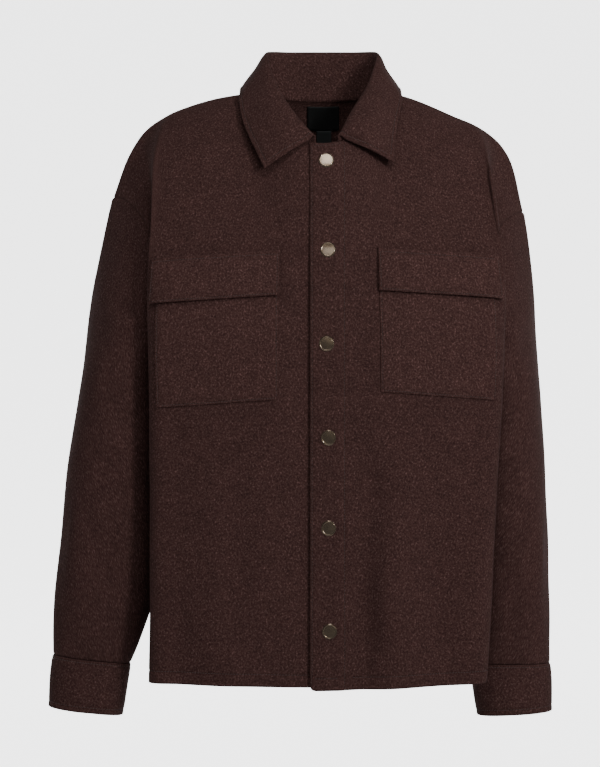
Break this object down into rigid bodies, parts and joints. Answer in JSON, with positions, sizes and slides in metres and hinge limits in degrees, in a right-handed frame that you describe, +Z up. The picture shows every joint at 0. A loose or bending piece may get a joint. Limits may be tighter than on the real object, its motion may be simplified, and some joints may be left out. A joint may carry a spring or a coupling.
{
  "type": "shacket",
  "caption": "Boxy wool-blend overshirt jacket with collar, snap placket, flapped chest pockets and cuffed sleeves, filled out as worn and hollow.",
  "frame": {"origin": "inside the collar on the line between the two neck points of the shoulder seams, where the neck of the wearer or of a hanger holds the garment", "axes": "+Z up, -Y towards the front of the garment with the placket, +X towards the wearer's left"},
  "size_m": [0.6136, 0.2465, 0.8154],
  "materials": {
    "wool": "dark brown heathered wool-blend cloth, softly brushed and matte",
    "snap_metal": "domed antique brass snap caps, polished",
    "neck_label_cloth": "black woven satin label, bare",
    "size_label_cloth": "dark grey woven tab, bare"
  },
  "bodies": {
    "root": {"front_right": "wool", "front_left": "wool", "back": "wool", "back_yoke": "wool", "sleeve_right": "wool", "sleeve_left": "wool", "collar": "wool", "cuff_right": "wool", "cuff_left": "wool", "placket": "wool", "pocket_right": "wool", "flap_right": "wool", "pocket_left": "wool", "flap_left": "wool", "snap_1": "snap_metal", "snap_2": "snap_metal", "snap_3": "snap_metal", "snap_4": "snap_metal", "snap_5": "snap_metal", "snap_6": "snap_metal", "neck_label": "neck_label_cloth", "size_label": "size_label_cloth"}
  },
  "joints": []
}
